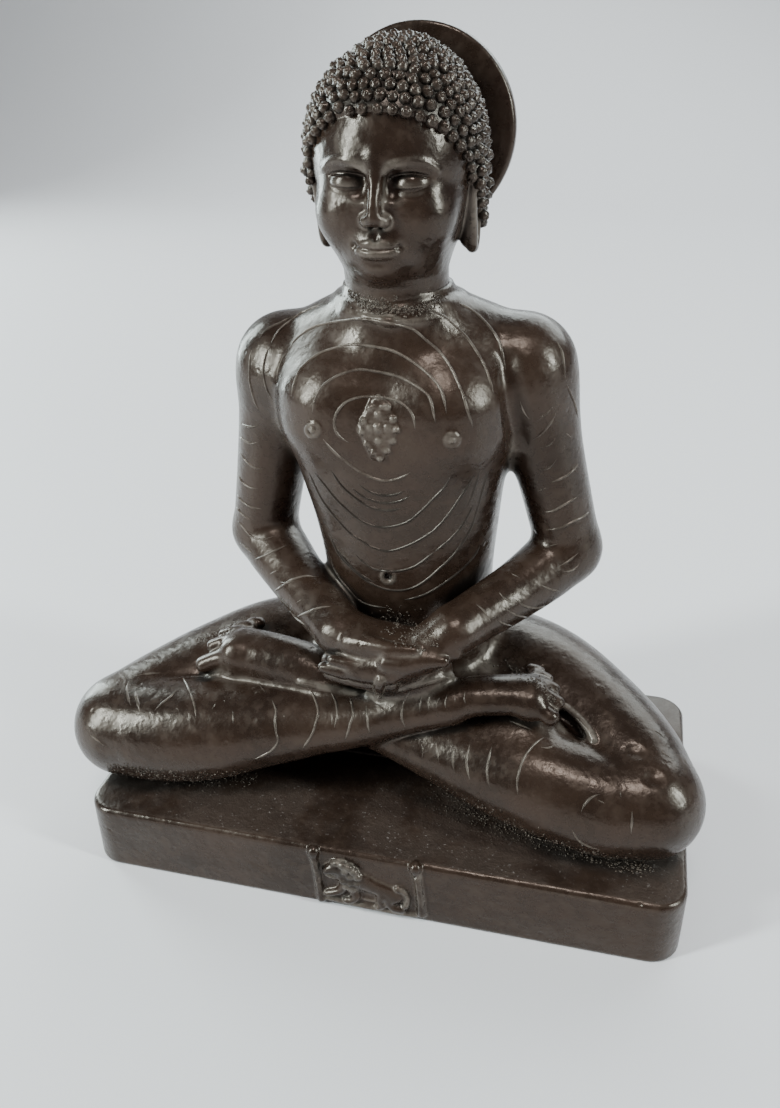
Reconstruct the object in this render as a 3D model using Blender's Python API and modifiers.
"""Seated statue in full lotus on a low slab, with a disc behind the head.

One casting: figure, slab and disc are one solid. Metres, +Z up, the front
faces -Y, and the origin is the middle of the underside. The sizes below are
in millimetres and are scaled by MM where the meshes are made.
"""

import math

import bmesh
import bpy
from mathutils import Matrix, Vector

MM = 0.001

# ---- slab ------------------------------------------------------------------
SLAB_WIDTH = 118.0
SLAB_DEPTH = 63.5
SLAB_HEIGHT = 14.5
SLAB_CORNER = 6.0        # radius of the four upright corners
SLAB_EDGE = 1.3          # rounding of the top edge

# ---- emblem panel on the slab's front --------------------------------------
PANEL_WIDTH = 22.6
PANEL_BAR = 1.5          # width of the upright bars at its ends
PANEL_PROUD = 0.9        # how far they stand out of the front
BAR_BALL = 1.05          # radius of the knob on each bar

# ---- figure: heights above the underside -----------------------------------
SEAT_Z = 30.0
WAIST_Z = 60.0
CHEST_Z = 91.0
NECK_Z = 112.0
HEAD_Z = 133.5
HEAD_X = -0.8
CHIN_Z = 116.4
HAIRLINE_Z = 142.0
EAR_BOTTOM_Z = 119.4
TOP_Z = 150.4            # top of the hair knot

# ---- figure: half widths and radii -----------------------------------------
WAIST_HALF = 16.4
CHEST_HALF = 20.8
SHOULDER_R = 8.0
ELBOW_R = 6.3
WRIST_R = 4.8
NECK_R = 8.8
HEAD_HALF = 12.9         # the head without its hair
HAIR_R = 14.2

# ---- figure: the joints of each side, -1 at -X and +1 at +X -----------------
SHOULDER = {-1: (-22.9, 4.0, 98.0), 1: (21.6, 5.5, 99.6)}
ELBOW = {-1: (-29.6, 5.0, 62.5), 1: (31.0, 5.0, 65.0)}
WRIST = {-1: (-8.0, -16.0, 54.2), 1: (13.4, -16.0, 57.4)}
KNEE = {-1: (-55.2, -16.5, 24.6), 1: (50.2, -15.5, 24.2)}
KNEE_R = 10.4

# ---- disc behind the head --------------------------------------------------
DISC_R = 16.4
DISC_THICK = 2.6
DISC_Y = 15.6
DISC_Z = 136.2

# ---- meshing ---------------------------------------------------------------
VOXEL = 0.8
SMOOTHING = 5
BODY_TRIANGLES = 7650

# ---- where the slab stands: the knees reach further to -X than to +X, and ----
# ---- the emblem stands proud of the front, so the box is centred by these -----
SHIFT_X = 2.5
SHIFT_Y = 0.45

# ---- fingers, and the tips of the toes: x, y, z and radius ------------------
FINGER_R = 1.4
TOES_LEFT = ((-38.2, -12.0, 38.9, 1.9), (-37.1, -9.0, 41.6, 1.5),
             (-35.7, -6.2, 42.6, 1.4), (-33.8, -3.8, 43.0, 1.3))
TOES_RIGHT = ((31.4, -16.0, 40.9, 1.8), (32.3, -13.6, 42.4, 1.4),
              (31.3, -11.1, 43.4, 1.3), (29.9, -8.8, 44.0, 1.3))

NAME = "mahavira_statue"


def clear_scene():
    for ob in list(bpy.data.objects):
        bpy.data.objects.remove(ob, do_unlink=True)


def collection(name):
    coll = bpy.data.collections.new(name)
    bpy.context.scene.collection.children.link(coll)
    return coll


def object_of(bm, name, coll):
    mesh = bpy.data.meshes.new(name)
    bm.to_mesh(mesh)
    bm.free()
    ob = bpy.data.objects.new(name, mesh)
    coll.objects.link(ob)
    return ob


class Clay:
    """Overlapping closed lumps that a voxel remesh later makes one skin."""

    def __init__(self):
        self.bm = bmesh.new()

    def _sphere(self, bm, centre, radii, turn=None, segments=20):
        size = Matrix.Diagonal((radii[0] * MM, radii[1] * MM, radii[2] * MM, 1.0))
        place = Matrix.Translation(Vector(centre) * MM)
        turn = turn.to_4x4() if turn else Matrix.Identity(4)
        bmesh.ops.create_uvsphere(
            bm, u_segments=segments, v_segments=segments // 2, radius=1.0,
            matrix=place @ turn @ size)

    def _take(self, bm):
        mesh = bpy.data.meshes.new("lump")
        bm.to_mesh(mesh)
        bm.free()
        self.bm.from_mesh(mesh)
        bpy.data.meshes.remove(mesh)

    def ball(self, centre, radii, turn=None):
        if not hasattr(radii, "__len__"):
            radii = (radii,) * 3
        bm = bmesh.new()
        self._sphere(bm, centre, radii, turn)
        self._take(bm)

    def link(self, a, ra, b, rb):
        """The hull of two ellipsoids: a tapered limb with round ends."""
        ra = ra if hasattr(ra, "__len__") else (ra,) * 3
        rb = rb if hasattr(rb, "__len__") else (rb,) * 3
        bm = bmesh.new()
        self._sphere(bm, a, ra)
        self._sphere(bm, b, rb)
        done = bmesh.ops.convex_hull(bm, input=bm.verts)
        inside = [v for v in done["geom_interior"] if isinstance(v, bmesh.types.BMVert)]
        bmesh.ops.delete(bm, geom=inside, context="VERTS")
        bmesh.ops.recalc_face_normals(bm, faces=bm.faces)
        self._take(bm)

    def chain(self, *stations):
        """Links through a row of (x, y, z, radius or radii)."""
        for one, two in zip(stations, stations[1:]):
            self.link(one[:3], one[3], two[:3], two[3])


def trunk(clay):
    """Seat, belly, ribs, chest, shoulder blades and the slope of the shoulders."""
    for side in (-1, 1):
        clay.ball((side * 11.5, 14.5, SEAT_Z - 4), (15.5, 12.5, 12.5))
    clay.chain(
        (0, 10, SEAT_Z - 4, (25, 15, 12)),
        (0, 7.0, SEAT_Z + 10, (19.5, 15, 11)),
        (0.3, 3.6, WAIST_Z - 6, (WAIST_HALF, 14.6, 8)),
        (0.5, 2.4, WAIST_Z + 3, (WAIST_HALF, 13.4, 8)),
        (0, 1.2, WAIST_Z + 17, (CHEST_HALF - 3.2, 14.0, 8)),
        (-0.5, 1.2, CHEST_Z - 1, (CHEST_HALF - 0.6, 15.4, 9)),
        (-0.7, 2.5, CHEST_Z + 7.5, (CHEST_HALF + 0.7, 13.5, 8)),
    )
    for side in (-1, 1):
        # breast, shoulder blade, and the sheet of muscle under the arm
        clay.link((side * 9.4, -2.5, CHEST_Z + 5.0), (10.6, 11.6, 9.0),
                  (side * 9.8, -2.2, CHEST_Z + 0.5), (9.8, 11.5, 7.4))
        clay.ball((side * 10.5, 7.0, CHEST_Z + 3), (11.5, 9.6, 14.0))
        clay.link((side * 19.8, 5.0, CHEST_Z + 4.5), (5.8, 7.2, 7.4),
                  (side * 18.8, 5.0, CHEST_Z - 1.5), (3.8, 6.2, 5.0))
        clay.link((side * 5, 2.0, NECK_Z - 4), (7.0, 7.0, 6.5),
                  SHOULDER[side], SHOULDER_R - 0.4)
    clay.link((0, 1.6, NECK_Z - 5), NECK_R + 1.4, (-0.5, 0.6, NECK_Z + 8), NECK_R)


def between(a, b, t):
    return tuple(p + (q - p) * t for p, q in zip(a, b))


def arms(clay):
    """Upper arms hang a little out, and the forearms come in to the lap."""
    for side in (-1, 1):
        upper = between(SHOULDER[side], ELBOW[side], 0.42)
        lower = between(ELBOW[side], WRIST[side], 0.5)
        clay.chain(
            (*SHOULDER[side], (SHOULDER_R, SHOULDER_R + 0.8, SHOULDER_R)),
            (*upper, (6.8, 7.6, 6.8)),
            (*ELBOW[side], ELBOW_R),
            (lower[0], lower[1], lower[2] - 1.2, 5.5),
            (*WRIST[side], WRIST_R),
        )


def hands(clay):
    """One palm lies in the other over the crossed shins, thumbs to the front."""
    # the left hand below, its fingers stacked towards the figure's right
    clay.chain((*WRIST[1], WRIST_R), (8, -18.6, 53.4, (5.0, 4.8, 3.6)),
               (2.0, -19.6, 51.0, (4.5, 4.8, 3.2)), (-3.0, -20.0, 49.8, (4.0, 4.0, 2.8)))
    for y, z, tip in ((-22.7, 51.9, -8.6), (-22.7, 49.8, -10.2), (-21.8, 47.8, -9.4)):
        clay.link((3.2, y, z), FINGER_R, (tip, y + 0.4, z - 0.8), FINGER_R - 0.1)
    clay.link((6.0, -22.6, 53.2), FINGER_R + 0.2, (1.8, -23.4, 53.4), FINGER_R)
    # the right hand on top, palm up
    clay.chain((*WRIST[-1], WRIST_R), (-3, -17.6, 54.3, (4.8, 4.8, 3.3)),
               (6.0, -18.4, 54.1, (4.2, 5.0, 2.4)))
    for y, tip in ((-22.3, 12.6), (-20.2, 14.2), (-17.9, 13.5), (-15.8, 11.4)):
        clay.link((3.2, y, 55.0), FINGER_R, (tip, y, 55.0), FINGER_R - 0.1)
    clay.link((-4.0, -20.4, 55.6), FINGER_R + 0.4, (9.4, -22.6, 56.8), FINGER_R)
    clay.link((0, -8, 44), (16, 8, 6), (0, -14, 47), (12, 6, 4))


def legs(clay):
    """Full lotus: each foot lies, sole up, on the other thigh."""
    clay.chain((-15, 12, 30, 14.6), (-29, 6, 28.6, 13.8), (-42, -2, 27.0, 12.2),
               (-50, -9.5, 26, 11.2), (*KNEE[-1], KNEE_R))
    clay.chain((15, 12, 30, 15.0), (27, 6.5, 29.5, 14.6), (37.5, -1, 28, 13.2),
               (45.5, -8.5, 26.2, 11.8), (*KNEE[1], KNEE_R))
    # the shin on top, then the one that passes under it
    clay.chain(
        (*KNEE[-1], KNEE_R),
        (-40, -16.5, 26.0, 10.6),
        (-26.5, -16, 29, 8.8),
        (-14, -16, 31.5, 6.6),
        (-5, -16.2, 34, 5.2),
        (4, -16, 37.2, 4.3),
        (13, -15.6, 40.3, 3.9),
    )
    clay.chain(
        (*KNEE[1], KNEE_R),
        (42, -17, 24.2, 10.3),
        (30.5, -16, 25.8, 10.0),
        (20.6, -15, 27.0, 8.7),
        (11.2, -14.6, 28.2, 6.4),
        (3, -14.2, 29.6, 4.8),
        (-12, -12.0, 34.0, 4.6),
    )
    # feet, sole up and great toe to the front, bedded on the thighs
    clay.chain((13, -15.6, 40.3, 3.9), (17, -14.2, 41.8, (4.2, 4.1, 3.6)),
               (23, -13.2, 42.5, (4.2, 4.4, 3.5)), (27.6, -12.8, 42.4, (3.8, 4.9, 3.6)))
    clay.chain((-12, -12.0, 34.0, 4.6), (-15, -10.2, 39.6, (5.0, 5.0, 4.7)),
               (-23, -9.2, 40.6, (5.0, 5.2, 4.9)), (-31, -8.6, 41.2, (4.6, 5.2, 4.4)))
    clay.link((-13, -10.4, 35), (5.0, 4.7, 4.8), (-33, -8.2, 35.6), (4.5, 4.8, 4.6))
    # the calf of the lower leg fills the room beneath the foot
    clay.link((11, -11.4, 32.4), (5.0, 4.8, 4.4), (26, -10.5, 34.8), (6.0, 5.6, 5.0))
    for side, toes in ((-1, TOES_LEFT), (1, TOES_RIGHT)):
        for x, y, z, radius in toes:
            clay.link((x - side * 5.0, y + 0.4, z + 0.9), radius, (x, y, z), radius)
    # the casting is filled between the seat, the thighs and the slab
    clay.link((-24, 2, 15), (22, 14, 7), (24, 2, 15), (22, 14, 7))
    clay.link((-28, 8, 18), (16, 12, 6), (28, 8, 18), (16, 12, 6))
    clay.link((-44, -6, 16), (12, 9, 5), (-8, -8, 20), (12, 9, 7))
    clay.link((40, -6, 16), (12, 9, 5), (8, -8, 20), (12, 9, 7))


def head(clay):
    """A plain oval head with long ears under a cap of hair and a low knot."""
    x = HEAD_X
    clay.link((x, 1.5, HEAD_Z + 2.4), (HEAD_HALF, 13.4, 12.0),
              (x, -1.6, CHIN_Z + 9.0), (10.6, 10.6, 8.4))
    clay.ball((x, -6.4, CHIN_Z + 3.6), (5.2, 5.0, 3.6))
    clay.ball((x, 3.2, HEAD_Z + 3.2), (HAIR_R + 0.5, 13.2, HAIR_R - 1.2))
    clay.ball((x, 5.4, HEAD_Z - 5.0), (HAIR_R - 0.8, 10.2, 8.0))
    clay.ball((x + 0.3, 3.6, HEAD_Z + 10.4), (7.6, 7.4, TOP_Z - HEAD_Z - 10.4))
    # brow, nose and lips, by thirds between the hairline and the chin
    third = (HAIRLINE_Z - CHIN_Z) / 3
    brow = HAIRLINE_Z - third
    clay.link((x, -11.5, brow), 1.2, (x, -12.9, brow - third + 1.6), 1.4)
    clay.link((x - 1.2, -11.3, brow - third + 1.3), 1.0,
              (x + 1.2, -11.3, brow - third + 1.3), 1.0)
    clay.link((x - 2.2, -10.9, CHIN_Z + 0.62 * third), 1.1,
              (x + 2.2, -10.9, CHIN_Z + 0.62 * third), 1.1)
    for side in (-1, 1):
        clay.link((x + side * 13.6, 4.4, HEAD_Z - 2), (1.5, 3.2, 4.2),
                  (x + side * 12.2, 3.4, EAR_BOTTOM_Z + 2.6), (1.4, 2.3, 2.6))


def slab(coll):
    """Low slab with round upright corners and a softened top edge."""
    bm = bmesh.new()
    bmesh.ops.create_cube(bm, size=1.0, matrix=Matrix.Translation(
        (0, 0, SLAB_HEIGHT * MM / 2)) @ Matrix.Diagonal(
        (SLAB_WIDTH * MM, SLAB_DEPTH * MM, SLAB_HEIGHT * MM, 1.0)))
    upright = [e for e in bm.edges
               if abs(e.verts[0].co.z - e.verts[1].co.z) > 1e-6]
    bmesh.ops.bevel(bm, geom=upright, offset=SLAB_CORNER * MM, segments=7,
                    profile=0.5, affect="EDGES")
    top = [e for e in bm.edges
           if min(v.co.z for v in e.verts) > (SLAB_HEIGHT - 0.01) * MM]
    bmesh.ops.bevel(bm, geom=top, offset=SLAB_EDGE * MM, segments=3,
                    profile=0.5, affect="EDGES")
    return object_of(bm, NAME, coll)


def disc(coll):
    """Upright round disc with a softened rim."""
    bm = bmesh.new()
    turn = Matrix.Rotation(math.radians(90), 4, "X")
    place = Matrix.Translation((0, DISC_Y * MM, DISC_Z * MM))
    bmesh.ops.create_cone(bm, cap_ends=True, segments=64,
                          radius1=DISC_R * MM, radius2=DISC_R * MM,
                          depth=DISC_THICK * MM, matrix=place @ turn)
    rims = [e for e in bm.edges
            if abs(e.verts[0].co.y - e.verts[1].co.y) < 1e-6]
    bmesh.ops.bevel(bm, geom=rims, offset=0.6 * MM, segments=2, profile=0.5,
                    affect="EDGES")
    return object_of(bm, "disc", coll)


def emblem(coll):
    """Upright bars with knobs, and the plain mass of a striding lion between."""
    clay = Clay()
    front = -SLAB_DEPTH / 2
    for side in (-1, 1):
        x = side * (PANEL_WIDTH - PANEL_BAR) / 2
        clay.link((x, front, 1.5), (PANEL_BAR / 2, PANEL_PROUD, 0.8),
                  (x, front, SLAB_HEIGHT - 2.4), (PANEL_BAR / 2, PANEL_PROUD, 0.8))
        clay.ball((x, front, SLAB_HEIGHT - 2.4), BAR_BALL)
    clay.link((-3.2, front, 7.6), (2.4, 0.9, 1.9), (4.6, front, 7.2), (2.4, 0.8, 1.7))
    clay.ball((-6.0, front, 9.0), (2.0, 1.0, 1.9))
    for x, foot in ((-4.6, -6.2), (-2.4, -2.0), (4.4, 3.2), (6.0, 6.6)):
        clay.link((x, front, 6.6), (1.0, 0.7, 1.0), (foot, front, 3.2), (0.8, 0.6, 0.7))
    clay.link((6.6, front, 8.2), (0.6, 0.6, 0.6), (8.0, front, 10.6), (0.6, 0.6, 0.6))
    return object_of(clay.bm, "emblem", coll)


def remeshed(ob, voxel, smoothing, triangles, one_shell):
    """A closed skin round the lumps of the object, as applied modifiers."""
    mod = ob.modifiers.new("skin", "REMESH")
    mod.mode = "VOXEL"
    mod.voxel_size = voxel * MM
    mod.adaptivity = 0.0
    mod = ob.modifiers.new("soften", "SMOOTH")
    mod.factor = 0.5
    mod.iterations = smoothing
    mod = ob.modifiers.new("three", "TRIANGULATE")
    apply_modifiers(ob)
    if one_shell:
        keep_outer_shell(ob)
    mod = ob.modifiers.new("light", "DECIMATE")
    mod.ratio = min(1.0, triangles / len(ob.data.polygons))
    apply_modifiers(ob)


def keep_outer_shell(ob):
    """Drops the closed shells inside the skin, where lumps enclosed a void."""
    bm = bmesh.new()
    bm.from_mesh(ob.data)
    left = set(bm.verts)
    shells = []
    while left:
        todo = [left.pop()]
        shell = list(todo)
        while todo:
            for edge in todo.pop().link_edges:
                for v in edge.verts:
                    if v in left:
                        left.remove(v)
                        todo.append(v)
                        shell.append(v)
        shells.append(shell)
    shells.sort(key=len)
    for shell in shells[:-1]:
        bmesh.ops.delete(bm, geom=shell, context="VERTS")
    bm.to_mesh(ob.data)
    bm.free()


def apply_modifiers(ob):
    bpy.context.view_layer.update()
    graph = bpy.context.evaluated_depsgraph_get()
    mesh = bpy.data.meshes.new_from_object(ob.evaluated_get(graph))
    ob.modifiers.clear()
    old = ob.data
    ob.data = mesh
    bpy.data.meshes.remove(old)


def lacquered():
    mat = bpy.data.materials.new("dark_lacquer")
    mat.use_nodes = True
    shader = mat.node_tree.nodes["Principled BSDF"]
    shader.inputs["Base Color"].default_value = (0.040, 0.026, 0.020, 1.0)
    shader.inputs["Roughness"].default_value = 0.24
    shader.inputs["Metallic"].default_value = 0.0
    return mat


def union(ob, other):
    mod = ob.modifiers.new("join_" + other.name, "BOOLEAN")
    mod.operation = "UNION"
    mod.solver = "EXACT"
    mod.object = other
    other.hide_render = True
    other.display_type = "WIRE"


def main():
    clear_scene()
    parts = collection("mahavira_statue_model")
    tools = collection("cutters")

    clay = Clay()
    trunk(clay)
    arms(clay)
    hands(clay)
    legs(clay)
    head(clay)
    figure = object_of(clay.bm, "figure", tools)
    remeshed(figure, VOXEL, SMOOTHING, BODY_TRIANGLES, True)

    plate = disc(tools)
    badge = emblem(tools)
    remeshed(badge, 0.35, 1, 1300, False)

    statue = slab(parts)
    union(statue, figure)
    union(statue, plate)
    union(statue, badge)
    statue.data.materials.append(lacquered())
    apply_modifiers(statue)
    statue.data.transform(Matrix.Translation((SHIFT_X * MM, SHIFT_Y * MM, 0)))
    statue.data.shade_smooth()
    statue.data.set_sharp_from_angle(angle=math.radians(40))


main()
